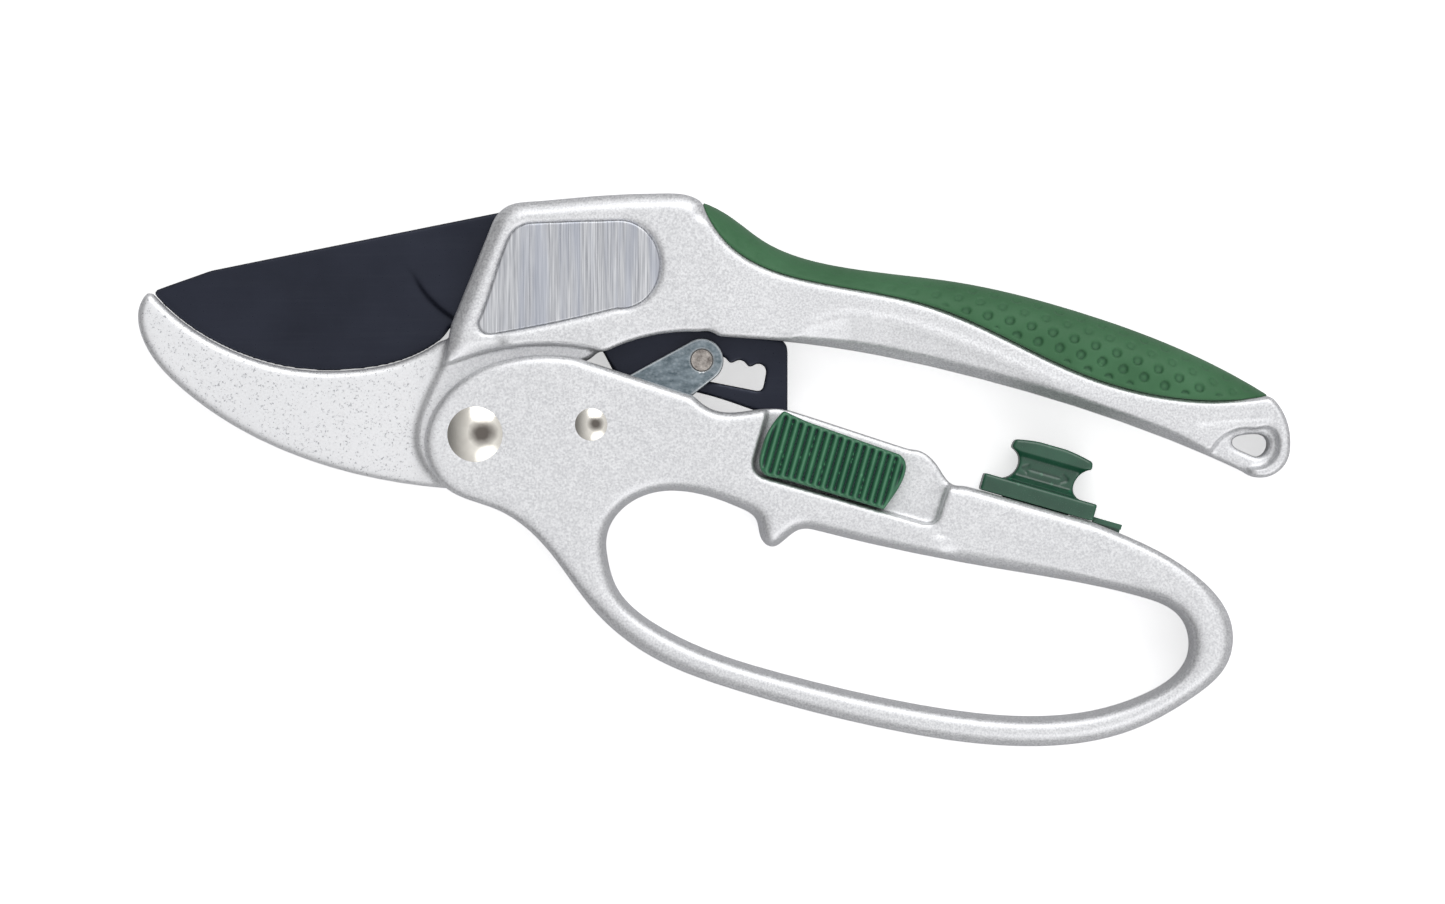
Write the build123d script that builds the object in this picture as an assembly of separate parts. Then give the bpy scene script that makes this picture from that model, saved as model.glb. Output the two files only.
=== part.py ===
from build123d import *
import math
import os

# Ratchet anvil pruner, closed, lying on its back. Millimetres.
# X runs from the blade's tip to the handles' ends, Y from the finger loop to the grip, Z upwards.
# The origin is the main pivot's axis in the resting plane. Shapes are drawn about the middle
# plane of the blade and lifted by MID_Z when they are written.

# ---- driving dimensions --------------------------------------------------------------------
HALF_DEPTH = 7.5  # half the castings' depth
MID_Z = HALF_DEPTH  # middle plane above the resting plane
HANDLE_HALF = 6.9  # half depth of the upper handle
ANVIL_HALF = 3.2  # half depth of the anvil
LUG_HALF = 4.1  # half depth of the lug between the lower handle's cheeks
SPINE_HALF = HANDLE_HALF - 2.6  # half depth of the rib inside the grip
BLADE_HALF = 1.6  # half thickness of the blade
BLADE_GAP_HALF = 2.0  # half width of the slot that the blade swings in
CHEEK_INNER = 4.6  # inner face of the lower handle's cheeks
LINK_INNER, LINK_OUTER = 1.75, 3.7  # faces of each link plate
RUNNING = 0.05  # radial clearance of a pin in a bore that turns on it
BEYOND = 20.0  # height above and below the middle plane that is outside every piece

MAIN_PIVOT = (0.0, 0.0)
LINK_PIVOT = (20.8, 1.75)
BLADE_PIVOT = (16.0, 26.0)
FIRST_NOTCH = (40.6, 13.3)

MAIN_SHANK_R, MAIN_HEAD_R, MAIN_DOME = 4.0, 4.95, 1.3
LINK_SHANK_R, LINK_HEAD_R, LINK_DOME = 2.0, 2.9, 0.8
HEAD_SINK = 1.2  # depth of the flush rivet tails
BLADE_PIN_R = 3.0
RATCHET_PIN_R, RATCHET_BOSS_R = 1.0, 1.9  # in the notches, and in the link plates

NOTCH_PITCH, NOTCH_R, NOTCH_COUNT = 3.45, 1.4, 4
TOOTH_TIP = 0.5  # teeth end this far above the line of notch centres
SLOT_DROP = 3.45  # slot's lower edge below the line of notch centres
SLOT_TILT = -11.2  # degrees

HUB_R = 15.9  # round rear of the blade about its pivot
LUG_R = 10.8
LUG_SPACE_R = 11.2
SPRING_POCKET_R, SPRING_POCKET_HALF = 7.6, 2.6

LABEL_MIDDLE = (17.0, 28.2)
LABEL_DEPTH, LABEL_THICK = 0.6, 0.5
LABEL_ROOM = 1.014  # the label's pocket is this much larger than the label
END_POCKET_DEPTH = 1.5  # hollow round the hang hole
WASHER_ROOM, WASHER_FIT = 0.1, 0.05  # round a washer's pin, and beside it

THUMB_TILT = -16.0  # degrees, direction of the thumb slide's travel
THUMB_TRAVEL = 7.0
SHELF_Z = 3.4  # floor of the shelf under the thumb slide
STUD = (64.2, -5.2)  # stud in the middle of the thumb slide
STOP_MIDDLE = (100.5, -12.82)  # stop slider's middle on the bar's upper edge
STOP_TILT = -15.9  # degrees, direction of the stop slider's travel
EDGE_R = 1.5  # rounding of the lower handle's outer edges


# ---- drawing helpers -----------------------------------------------------------------------
def run(*points):
    """A straight edge through two points, a smooth curve through more."""
    return Line(*points) if len(points) == 2 else Spline(*points)


def region(*runs):
    """A face bounded by edges, or by lists of points, that follow each other."""
    edges = Curve() + [run(*item) if isinstance(item, list) else item for item in runs]
    return make_face(edges)


def polygon(*points):
    return make_face(Polyline(*points, close=True))


def slab(face, low, high):
    """The face thickened from one height to another."""
    return extrude(Pos(0, 0, low) * face, high - low)


def plate(face, half):
    return slab(face, -half, half)


def disc(centre, radius, low, high):
    return Pos(centre[0], centre[1], (low + high) / 2) * Cylinder(radius, high - low)


def ring(centre, outer, inner, low, high):
    return disc(centre, outer, low, high) - disc(centre, inner, low - 1, high + 1)


def dome(centre, radius, base, height):
    """A shallow spherical cap that stands on a height."""
    ball_r = (radius**2 + height**2) / (2 * height)
    ball = Pos(centre[0], centre[1], base + height - ball_r) * Sphere(ball_r)
    return ball & disc(centre, radius + 1, base, base + height + 1)


def both_sides(shape):
    return shape + mirror(shape, Plane.XY)


def placed(point, angle, shape):
    return Pos(point[0], point[1], 0) * Rot(0, 0, angle) * shape


def along(point, angle, distance):
    turn = math.radians(angle)
    return (point[0] + distance * math.cos(turn), point[1] + distance * math.sin(turn))


def outer_edges(solid, height):
    """Edges that lie flat at a height above or below the middle plane."""
    flat = solid.edges().filter_by_position(Axis.Z, height - 0.01, height + 0.01)
    return flat + solid.edges().filter_by_position(Axis.Z, -height - 0.01, -height + 0.01)


# ---- outlines ------------------------------------------------------------------------------
FRONT_LOW = (-5.8, 12.2)
FRONT_HEEL = (-4.4, 19.5)
CUTTING_LINE = [
    (-6.5, 16.7),
    (-13.6, 13.1),
    (-22.8, 11.5),
    (-32.0, 11.7),
    (-41.2, 14.0),
    (-50.4, 18.6),
    (-57.7, 24.9),
]
STEP_LINE = [(22.1, 15.0), (13.8, 16.2), (4.6, 15.4), FRONT_LOW]
GRIP_START = (40.6, 41.7)
GRIP_END = (142.5, 6.9)
GRIP_SEAM = [
    GRIP_START,
    (43.0, 36.8),
    (47.1, 32.6),
    (60.9, 27.3),
    (81.6, 23.0),
    (95.3, 17.2),
    (109.1, 10.7),
    (122.9, 6.9),
    GRIP_END,
]
GRIP_BACK = [
    GRIP_END,
    (129.2, 14.1),
    (107.6, 22.2),
    (86.0, 27.4),
    (64.4, 30.3),
    (51.4, 34.9),
    (46.0, 38.9),
    GRIP_START,
]
UNDERSIDE = [
    (54.7, 16.8),
    (73.0, 14.1),
    (90.3, 10.1),
    (107.6, 5.1),
    (124.8, -1.0),
    (137.8, -6.6),
]
HANDLE_TIP = [
    (137.8, -6.6),
    (142.2, -7.6),
    (145.3, -5.2),
    (146.1, -0.8),
    (144.7, 4.2),
    GRIP_END,
]


def body_face():
    """Cheeks and upper handle in side view, up to the grip's seam."""
    return region(
        [FRONT_LOW, FRONT_HEEL],
        [FRONT_HEEL, (-0.8, 28.4), (3.2, 38.3)],
        [(3.2, 38.3), (5.2, 40.6), (8.2, 41.6)],
        [(8.2, 41.6), (21.2, 42.7), (34.1, 43.2), (38.0, 42.9), GRIP_START],
        GRIP_SEAM,
        HANDLE_TIP[::-1],
        UNDERSIDE[::-1],
        [(54.7, 16.8), (43.5, 17.6)],
        [(43.5, 17.6), (42.6, 18.3), (40.2, 18.4)],
        [(40.2, 18.4), (31.0, 17.6), (23.2, 14.8)],
        [(23.2, 14.8), (22.1, 15.0)],
        STEP_LINE,
    )


def slim_face():
    """Side view beyond which the upper handle is thinner than the cheeks."""
    return polygon((43, 60), (150, 60), (150, -20), (58, -20), (58, 16))


def spine_face():
    """Rib of the upper handle that the grip is wrapped round."""
    return region(
        GRIP_SEAM,
        [GRIP_END, (129.2, 12.3), (107.6, 20.4), (86.0, 25.6), (64.4, 28.5), (50.6, 33.2), GRIP_START],
    )


ANVIL_BACK = [
    (-59.3, 25.1),
    (-60.7, 21.4),
    (-60.2, 18.2),
    (-52.3, 7.8),
    (-39.3, -0.7),
    (-22.0, -7.0),
    (-5.2, -9.7),
]


def anvil_face():
    return region(
        CUTTING_LINE,
        [(-57.7, 24.9), (-58.5, 25.6), (-59.3, 25.1)],
        ANVIL_BACK,
        [(-5.2, -9.7), (4.0, -8.0)],
        [(4.0, -8.0), (6.0, 16.4)],
        [(6.0, 16.4), (-4.0, 17.4), (-6.5, 16.7)],
    )


def lug_face():
    """Lug round the main pivot and the recessed cheeks beside the blade's tail."""
    start, end = 215.0, 290.0
    low_left, low_right = along(MAIN_PIVOT, start, LUG_R), along(MAIN_PIVOT, end, LUG_R)
    return region(
        [(-5.0, 17.0), (-8.5, 7.2), (-10.7, 0.2), low_left],
        CenterArc(MAIN_PIVOT, LUG_R, start, end - start),
        [low_right, (10.2, -1.0), (14.6, 8.6), (20.5, 13.5)],
        Polyline((20.5, 13.5), (22.4, 15.2), (22.0, 18.0), (-5.0, 17.0)),
    )


def blade_space():
    """Side view of the slot that the blade swings in, from closed to open."""
    clear_r = HUB_R + 0.5
    start, end = 70.0, -13.0
    lower_left = [(15.6, -20.0), (15.6, 14.8), (4.0, 17.0), (-80.0, 17.0)]
    return region(
        CenterArc(BLADE_PIVOT, clear_r, end, start - end),
        Polyline(along(BLADE_PIVOT, end, clear_r), (36.0, 20.9), (58.5, 17.9), (62.0, -20.0), *lower_left),
        Polyline((-80.0, 17.0), (-80.0, 60.0), (21.6, 60.0), along(BLADE_PIVOT, start, clear_r)),
    )


def label_face(growth):
    """Outline of the inlaid label, drawn about its middle and enlarged there."""
    outline = region(
        [(-16.6, -8.2), (-14.2, -1.8), (-12.4, 3.8), (-10.8, 7.6)],
        [(-10.8, 7.6), (-9.1, 9.1), (-6.9, 9.7)],
        [(-6.9, 9.7), (1.4, 10.0), (8.7, 10.2)],
        [(8.7, 10.2), (13.8, 8.1), (16.2, 2.8), (14.7, -2.7), (8.3, -5.7)],
        [(8.3, -5.7), (-5.0, -8.7), (-13.8, -10.3)],
        [(-13.8, -10.3), (-15.8, -9.9), (-16.6, -8.2)],
    )
    return placed(LABEL_MIDDLE, 0, scale(outline, growth))


def hang_hole_face():
    return region(
        [(136.0, -0.5), (138.5, 0.0), (141.2, 0.0)],
        [(141.2, 0.0), (142.3, -1.4), (141.8, -3.2), (139.9, -4.1)],
        [(139.9, -4.1), (136.5, -2.6)],
        [(136.5, -2.6), (135.5, -1.4), (136.0, -0.5)],
    )


def handle_end_pocket_face():
    return region(
        [(130.6, -8.0), (131.6, -3.4), (134.3, -0.2), (139.9, 0.9)],
        [(139.9, 0.9), (143.2, 0.6), (143.9, -2.4), (142.6, -5.0), (139.0, -6.0)],
        [(139.0, -6.0), (136.0, -10.0)],
        [(136.0, -10.0), (130.6, -8.0)],
    )


# ---- upper half: casting, grip, labels -----------------------------------------------------
def body_casting():
    cheeks = plate(body_face(), HALF_DEPTH)
    cheeks -= both_sides(slab(slim_face(), HANDLE_HALF, BEYOND))
    cheeks += plate(spine_face(), SPINE_HALF)
    frame = cheeks + plate(lug_face(), LUG_HALF)
    frame -= plate(blade_space(), BLADE_GAP_HALF)
    frame += plate(anvil_face(), ANVIL_HALF)
    frame -= disc(MAIN_PIVOT, MAIN_SHANK_R + RUNNING, -BEYOND, BEYOND)
    frame -= disc(MAIN_PIVOT, SPRING_POCKET_R, -SPRING_POCKET_HALF, SPRING_POCKET_HALF)
    spring_leg_way = polygon((0, -5), (0, -14), (14, -14), (14, -2), (5, -2))
    frame -= plate(spring_leg_way, SPRING_POCKET_HALF)
    frame -= disc(BLADE_PIVOT, BLADE_PIN_R, -BEYOND, BEYOND)
    frame -= both_sides(slab(label_face(LABEL_ROOM), HALF_DEPTH - LABEL_DEPTH, BEYOND))
    frame -= plate(hang_hole_face(), BEYOND)
    frame -= both_sides(slab(handle_end_pocket_face(), HANDLE_HALF - END_POCKET_DEPTH, BEYOND))
    return frame


def grip_cover():
    """Soft U-shaped cover round the upper handle's spine."""
    cover = plate(region(GRIP_SEAM, GRIP_BACK), HALF_DEPTH)
    return cover - plate(spine_face(), SPINE_HALF)


def label_plate(side):
    """Thin inlaid plate; side is +1 at the front and -1 at the back."""
    low = HALF_DEPTH - LABEL_DEPTH
    shape = slab(label_face(1), low, low + LABEL_THICK)
    return shape if side > 0 else mirror(shape, Plane.XY)


def blade_pivot_pin():
    half = HALF_DEPTH - LABEL_DEPTH
    return disc(BLADE_PIVOT, BLADE_PIN_R, -half, half)


def blade_washers():
    radius = 7.0
    washer = ring(BLADE_PIVOT, radius, BLADE_PIN_R + WASHER_ROOM, BLADE_HALF + WASHER_FIT, BLADE_GAP_HALF)
    return both_sides(washer)


# ---- blade ---------------------------------------------------------------------------------
def slot_face():
    """Notched slot in the blade's tail, drawn along X from the first notch's centre."""
    side = NOTCH_R / math.sqrt(2)
    foot = 2 * side - TOOTH_TIP
    last = (NOTCH_COUNT - 1) * NOTCH_PITCH
    left, right, corner = -1.6, last + NOTCH_R, 0.9
    runs = [[(left, -SLOT_DROP), (left, 0)], [(left, 0), (-NOTCH_R, 0)]]
    for index in range(NOTCH_COUNT):
        centre = (index * NOTCH_PITCH, 0)
        first, final = index == 0, index == NOTCH_COUNT - 1
        begin, end = (180 if first else 135), (0 if final else 45)
        runs.append(CenterArc(centre, NOTCH_R, end, begin - end))
        if not final:
            tip_left = (centre[0] + foot, TOOTH_TIP)
            tip_right = (centre[0] + NOTCH_PITCH - foot, TOOTH_TIP)
            runs.append([(centre[0] + side, side), tip_left])
            runs.append([tip_left, tip_right])
            runs.append([tip_right, (centre[0] + NOTCH_PITCH - side, side)])
    runs.append([(right, 0), (right, corner - SLOT_DROP)])
    runs.append(CenterArc((right - corner, corner - SLOT_DROP), corner, 270, 90))
    runs.append([(right - corner, -SLOT_DROP), (left, -SLOT_DROP)])
    return placed(FIRST_NOTCH, SLOT_TILT, region(*runs))


def blade_face():
    edge_room = 0.1  # the closed edge stands this far off the anvil
    hub_start_angle, hub_end_angle = 101.4, -20.0
    hub_start = along(BLADE_PIVOT, hub_start_angle, HUB_R)
    hub_end = along(BLADE_PIVOT, hub_end_angle, HUB_R)
    edge = [(x, y + edge_room) for x, y in CUTTING_LINE]
    return region(
        edge,
        [edge[-1], (-57.6, 25.9)],
        [(-57.6, 25.9), (-47.6, 29.4)],
        [(-47.6, 29.4), hub_start],
        CenterArc(BLADE_PIVOT, HUB_R, hub_end_angle, hub_start_angle - hub_end_angle),
        [hub_end, (38.0, 19.6)],
        [(38.0, 19.6), (53.7, 17.3)],
        [(53.7, 17.3), (55.4, 16.6), (56.0, 14.9)],
        [(56.0, 14.9), (56.0, 3.4)],
        [(56.0, 3.4), (55.4, 2.7), (54.4, 2.8)],
        [(54.4, 2.8), (50.3, 4.2), (40.1, 7.45), (31.0, 9.0), (25.2, 10.4)],
        [(25.2, 10.4), (23.1, 14.35)],
        [(23.1, 14.35), (20.6, 17.0), (16.0, 17.5)],
        [(16.0, 17.5), (4.0, 18.2), (-4.5, 19.4)],
        [(-4.5, 19.4), (-5.4, 18.0), edge[0]],
    )


def blade():
    """Blade with its tail and the notched slot."""
    steel = plate(blade_face(), BLADE_HALF)
    steel -= plate(slot_face(), BEYOND)
    return steel - disc(BLADE_PIVOT, BLADE_PIN_R + RUNNING, -BEYOND, BEYOND)


# ---- lower half: casting, rivets, springs --------------------------------------------------
HANDLE_OUTER = [
    (17.7, 13.9),
    (7.8, 13.9),
    (-2.0, 10.2),
    (-7.9, 3.5),
    (-9.1, -2.7),
    (-5.2, -9.7),
    (3.9, -13.5),
    (12.5, -20.1),
    (21.2, -31.5),
    (29.8, -38.8),
    (47.1, -46.0),
    (73.0, -52.7),
    (96.8, -55.9),
    (116.2, -53.6),
    (129.2, -46.8),
    (134.9, -41.0),
    (135.6, -34.0),
    (129.2, -25.3),
    (116.2, -18.0),
    (110.5, -15.7),
]
FINGER_LOOP = [
    (23.5, -21.1),
    (24.9, -15.0),
    (31.1, -10.7),
    (39.2, -10.5),
    (47.2, -13.1),
    (50.4, -15.3),
    (51.3, -18.9),
    (53.2, -20.3),
    (55.2, -19.2),
    (58.4, -17.0),
    (61.8, -17.4),
    (95.4, -24.4),
    (119.5, -29.2),
    (126.8, -33.2),
    (127.9, -39.4),
    (119.5, -46.9),
    (101.8, -50.6),
    (79.3, -48.5),
    (55.2, -43.0),
    (33.5, -34.8),
    (25.6, -28.0),
]


def lower_handle_face():
    """Round head, outside of the finger loop, and the straight bar back to the head."""
    return region(
        HANDLE_OUTER,
        [(110.5, -15.7), (87.6, -9.2)],
        [(87.6, -9.2), (85.0, -8.6), (83.3, -6.2), (81.0, -3.6), (77.9, -2.7)],
        [(77.9, -2.7), (56.5, 4.3)],
        [(56.5, 4.3), (52.5, 4.7), (47.3, 4.0), (39.2, 6.9)],
        [(39.2, 6.9), (17.7, 13.9)],
    )


def shelf_face():
    """Lowered shelf for the thumb slide, open at the handle's upper edge."""
    return region(
        [(53.4, 8.0), (52.5, 4.6), (51.4, 0.8), (50.1, -3.7)],
        [(50.1, -3.7), (50.0, -6.4), (52.5, -7.95)],
        [(52.5, -7.95), (80.6, -16.0)],
        [(80.6, -16.0), (82.3, -15.8), (83.2, -14.0)],
        [(83.2, -14.0), (85.4, -7.6)],
        Polyline((85.4, -7.6), (92.0, 4.0), (53.4, 8.0)),
    )


def cheek_space():
    """Side view of the room between the cheeks for the lug and the link."""
    arc_start, arc_end = -69.0, -14.0
    first, last = along(MAIN_PIVOT, arc_start, LUG_SPACE_R), along(MAIN_PIVOT, arc_end, LUG_SPACE_R)
    return region(
        CenterArc(MAIN_PIVOT, LUG_SPACE_R, arc_start, arc_end - arc_start),
        Polyline(last, (17.5, -3.8), (24.8, -3.8), (46.5, 3.0), (46.5, 40.0), (-30.0, 40.0)),
        Polyline((-30.0, 40.0), (-30.0, -30.0), (first[0], -30.0), first),
    )


def rail_space():
    """T-shaped groove along the bar's upper edge for the stop slider's clip."""
    reach = 19.0
    neck = bar_box(-reach, reach, -2.5, 0.1, 1.3)
    head = bar_box(-reach, reach, -4.1, -2.3, 2.6)
    return placed(STOP_MIDDLE, STOP_TILT, neck + head)


def bar_box(x_low, x_high, y_low, y_high, half):
    """A box drawn along the bar: along it, out of it, and half its depth."""
    middle = Pos((x_low + x_high) / 2, (y_low + y_high) / 2, 0)
    return middle * Box(x_high - x_low, y_high - y_low, 2 * half)


def at_stud(distance, shape):
    """A shape on the thumb slide's line of travel, this far from the stud."""
    return placed(along(STUD, THUMB_TILT, distance), THUMB_TILT, shape)


def stud_way():
    """Guide slot through the shelf's floor for the lock stud."""
    length, width = THUMB_TRAVEL + 3.2, 3.1
    pocket_length, pocket_width, pocket_depth = length + 5, 6.4, 4.4
    through = Pos(0, 0, SHELF_Z) * Box(length, width, 8)
    return at_stud(THUMB_TRAVEL / 2, through + Box(pocket_length, pocket_width, pocket_depth))


def lower_handle():
    casting = plate(lower_handle_face(), HALF_DEPTH)
    casting = fillet(outer_edges(casting, HALF_DEPTH), EDGE_R)
    casting -= plate(make_face(Spline(*FINGER_LOOP, periodic=True)), BEYOND)
    casting -= plate(cheek_space(), CHEEK_INNER)
    tail_space = polygon((22, 0), (46, 1.5), (57.8, 0.9), (57.8, 40), (22, 40))
    casting -= plate(tail_space, BLADE_GAP_HALF)
    casting -= slab(shelf_face(), SHELF_Z, BEYOND)
    casting -= stud_way()
    casting -= rail_space()
    casting -= disc(MAIN_PIVOT, MAIN_SHANK_R, -BEYOND, BEYOND)
    casting -= disc(LINK_PIVOT, LINK_SHANK_R, -BEYOND, BEYOND)
    casting -= disc(MAIN_PIVOT, MAIN_HEAD_R, -BEYOND, HEAD_SINK - HALF_DEPTH)
    casting -= disc(LINK_PIVOT, LINK_HEAD_R, -BEYOND, HEAD_SINK - HALF_DEPTH)
    return casting


def rivet(centre, shank_r, head_r, height):
    """Domed head in front, shank, and a flush tail at the back."""
    shank = disc(centre, shank_r, -HALF_DEPTH, HALF_DEPTH)
    tail = disc(centre, head_r, -HALF_DEPTH, HEAD_SINK - HALF_DEPTH)
    return shank + tail + dome(centre, head_r, HALF_DEPTH, height)


def main_washers():
    radius = 8.0
    washer = ring(MAIN_PIVOT, radius, MAIN_SHANK_R + WASHER_ROOM, LUG_HALF + WASHER_FIT, CHEEK_INNER)
    return both_sides(washer)


def coil_spring(centre, coil_r, wire_r, turns, pitch):
    """Plain coil of round wire about a pivot."""
    height = turns * pitch
    path = Helix(pitch, height, coil_r)
    section = Plane(origin=path @ 0, z_dir=path % 0) * Circle(wire_r)
    coil = sweep(section, path=path, is_frenet=True)
    return Pos(centre[0], centre[1], -height / 2) * coil


def opening_spring():
    return coil_spring(MAIN_PIVOT, coil_r=5.9, wire_r=0.6, turns=3, pitch=1.3)


def link_spring():
    return coil_spring(LINK_PIVOT, coil_r=3.6, wire_r=0.3, turns=3, pitch=0.75)


# ---- link ----------------------------------------------------------------------------------
def link_face():
    """Rounded at the ratchet pin and at the link's pivot, with a heel between them below."""
    pivot_r, pin_end_r = 4.5, 3.9
    top, pivot_low, pin_low = 121.0, -75.0, -51.0  # directions from the two centres
    heel = [(35.6, 4.4), (34.4, 3.6), (32.8, 2.7)]
    low_pin, low_pivot = along(FIRST_NOTCH, pin_low, pin_end_r), along(LINK_PIVOT, pivot_low, pivot_r)
    return region(
        CenterArc(LINK_PIVOT, pivot_r, top, 360 + pivot_low - top),
        [low_pivot, heel[2]],
        heel[::-1],
        [heel[0], low_pin],
        CenterArc(FIRST_NOTCH, pin_end_r, pin_low, top - pin_low),
        [along(FIRST_NOTCH, top, pin_end_r), along(LINK_PIVOT, top, pivot_r)],
    )


def link_plate(side):
    shape = slab(link_face(), LINK_INNER, LINK_OUTER)
    shape -= disc(LINK_PIVOT, LINK_SHANK_R + RUNNING, 0, BEYOND)
    shape -= disc(FIRST_NOTCH, RATCHET_BOSS_R, 0, BEYOND)
    return shape if side > 0 else mirror(shape, Plane.XY)


def link_pin():
    """Shouldered pin: thin in the notches, thick in the link plates, with upset ends."""
    thin = disc(FIRST_NOTCH, RATCHET_PIN_R, -LINK_INNER, LINK_INNER)
    proud = 0.3  # the upset ends stand this far out of the plates
    thick = disc(FIRST_NOTCH, RATCHET_BOSS_R, LINK_INNER, LINK_OUTER + proud)
    return thin + both_sides(thick)


def link_spacer():
    """Sleeve that keeps the link plates apart on the rivet."""
    sleeve_r = 3.0
    return ring(LINK_PIVOT, sleeve_r, LINK_SHANK_R + RUNNING, -LINK_INNER, LINK_INNER)


def link_washers():
    radius = 4.2
    washer = ring(LINK_PIVOT, radius, LINK_SHANK_R + WASHER_ROOM, LINK_OUTER + WASHER_FIT, CHEEK_INNER)
    return both_sides(washer)


# ---- lock ----------------------------------------------------------------------------------
THUMB_TOP_Z, THUMB_BASE_Z = 8.6, 4.7
STUD_R, STUD_TOP_Z = 1.4, 7.3
RIB_COUNT, RIB_PITCH, GROOVE_WIDTH, GROOVE_DEPTH = 15, 1.5, 0.7, 0.6


def thumb_face():
    """Rounded at the left end and bowed at the right."""
    return region(
        [(55.4, 3.7), (53.0, 0.6), (51.6, -3.2), (51.6, -6.2), (53.0, -7.3)],
        [(53.0, -7.3), (73.2, -13.5)],
        [(73.2, -13.5), (76.4, -8.6), (76.9, -4.6), (76.0, -3.6)],
        [(76.0, -3.6), (55.4, 3.7)],
    )


def thumb_slide():
    """Ribbed plastic slide of the lock."""
    body = slab(thumb_face(), THUMB_BASE_Z, THUMB_TOP_Z)
    start, across = -(RIB_COUNT - 1) * RIB_PITCH / 2, 16.0
    for index in range(RIB_COUNT):
        groove = Pos(0, 0, THUMB_TOP_Z) * Box(GROOVE_WIDTH, across, 2 * GROOVE_DEPTH)
        body -= at_stud(start + index * RIB_PITCH, groove)
    return body - disc(STUD, STUD_R, 0, STUD_TOP_Z)


def lock_plate():
    """Steel plate under the thumb slide; it shows as a dark border."""
    outline = region(
        [(53.0, 4.3), (51.8, 0.8), (50.5, -3.6)],
        [(50.5, -3.6), (50.4, -6.0), (52.9, -7.6)],
        [(52.9, -7.6), (73.2, -13.4)],
        [(73.2, -13.4), (75.9, -8.6), (76.3, -5.0)],
        Polyline((76.3, -5.0), (55.9, 2.9), (53.0, 4.3)),
    )
    return slab(outline, SHELF_Z + RUNNING, THUMB_BASE_Z) - disc(STUD, STUD_R, 0, BEYOND)


def lock_stud():
    """Headed stud that holds the slide and its plate to the casting."""
    head_r, head_low, head_high = 2.6, 0.4, 1.4
    return disc(STUD, STUD_R, head_low, STUD_TOP_Z) + disc(STUD, head_r, head_low, head_high)


def lock_spring():
    """Flat leaf behind the stud that holds the slide at either end of its travel."""
    length, width, foot_length = 14.5, 4.0, 1.2
    leaf = Pos(0, 0, -1.0) * Box(length, width, 0.4)
    foot = Pos(0, 0, -1.6) * Box(foot_length, width, 1.2)
    out = (length - foot_length) / 2
    return at_stud(THUMB_TRAVEL / 2, leaf + Pos(-out, 0, 0) * foot + Pos(out, 0, 0) * foot)


# ---- stop slider ---------------------------------------------------------------------------
def stop_slider():
    """Spool-shaped slider on the bar: base, waist and cap, drawn along the bar."""
    base = bar_box(-10.5, 10.5, 0.1, 3.2, 6.5)
    waist = region(
        [(-7.8, 3.1), (-5.4, 4.7), (-5.0, 6.6), (-7.0, 8.9)],
        [(-7.0, 8.9), (-6.6, 10.6), (-4.5, 11.2)],
        [(-4.5, 11.2), (4.6, 11.2)],
        [(4.6, 11.2), (7.4, 10.6), (7.9, 8.9)],
        [(7.9, 8.9), (5.7, 6.6), (5.6, 4.7), (8.0, 3.1)],
        [(8.0, 3.1), (-7.8, 3.1)],
    )
    stem = bar_box(-6.0, 6.0, -1.9, 0.3, 1.1)
    waist_half = 5.2
    return placed(STOP_MIDDLE, STOP_TILT, base + plate(waist, waist_half) + stem)


def slider_clip():
    """Clip in the bar's groove, with a tongue that shows beyond the slider."""
    strip = bar_box(-7.5, 7.5, -3.85, -2.45, 2.4)
    boss = bar_box(-6.0, 7.5, -2.5, -1.9, 1.1)
    riser = bar_box(6.5, 7.5, -2.5, 0.0, 1.0)
    spring_arm = bar_box(6.5, 15.8, -0.95, 0.05, 1.0)
    tongue = bar_box(10.65, 15.9, 0.03, 0.95, 2.4)
    return placed(STOP_MIDDLE, STOP_TILT, strip + boss + riser + spring_arm + tongue)


# ---- writing -------------------------------------------------------------------------------
def write(node, shape):
    export_step(Pos(0, 0, MID_Z) * shape, f"parts/{node}.step")


PIECES = {
    "body_casting": body_casting,
    "grip_cover": grip_cover,
    "label_plate_front": lambda: label_plate(1),
    "label_plate_back": lambda: label_plate(-1),
    "blade_pivot_pin": blade_pivot_pin,
    "blade_washers": blade_washers,
    "blade": blade,
    "lower_handle": lower_handle,
    "main_rivet": lambda: rivet(MAIN_PIVOT, MAIN_SHANK_R, MAIN_HEAD_R, MAIN_DOME),
    "main_washers": main_washers,
    "opening_spring": opening_spring,
    "link_rivet": lambda: rivet(LINK_PIVOT, LINK_SHANK_R, LINK_HEAD_R, LINK_DOME),
    "link_plate_front": lambda: link_plate(1),
    "link_plate_back": lambda: link_plate(-1),
    "link_pin": link_pin,
    "link_spacer": link_spacer,
    "link_washers": link_washers,
    "link_spring": link_spring,
    "thumb_slide": thumb_slide,
    "lock_plate": lock_plate,
    "lock_stud": lock_stud,
    "lock_spring": lock_spring,
    "stop_slider": stop_slider,
    "slider_clip": slider_clip,
}

os.makedirs("parts", exist_ok=True)
for name, build in PIECES.items():
    write(name, build())
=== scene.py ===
import math

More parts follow.
